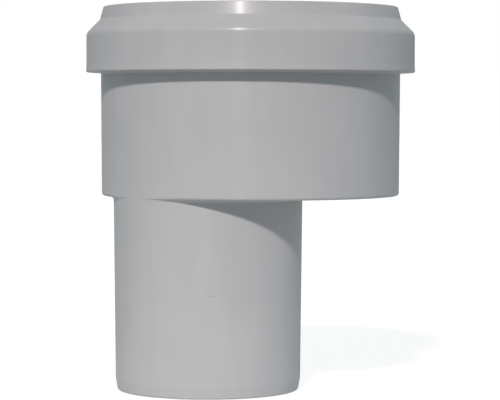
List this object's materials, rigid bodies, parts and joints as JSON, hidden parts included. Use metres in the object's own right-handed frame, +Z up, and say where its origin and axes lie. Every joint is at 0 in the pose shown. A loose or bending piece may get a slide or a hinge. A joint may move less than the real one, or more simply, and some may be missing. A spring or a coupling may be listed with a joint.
{
  "type": "eccentric pipe reducer",
  "caption": "Push-fit drain reducer: a wide socket with a lip seal steps down, over a flat floor, to a smaller spigot set flush with one side.",
  "frame": {"origin": "on the socket's axis, level with the spigot's end face", "axes": "+Z up the socket's axis toward its mouth, -X from the socket's axis toward the spigot's axis, so XZ is the plane of symmetry"},
  "size_m": [0.0898, 0.0898, 0.1033],
  "materials": {
    "grey_plastic": "smooth moulded polypropylene, satin to gloss",
    "black_rubber": "matte moulded rubber"
  },
  "bodies": {
    "root": {"reducer_body": "grey_plastic", "lip_seal": "black_rubber"}
  },
  "joints": []
}
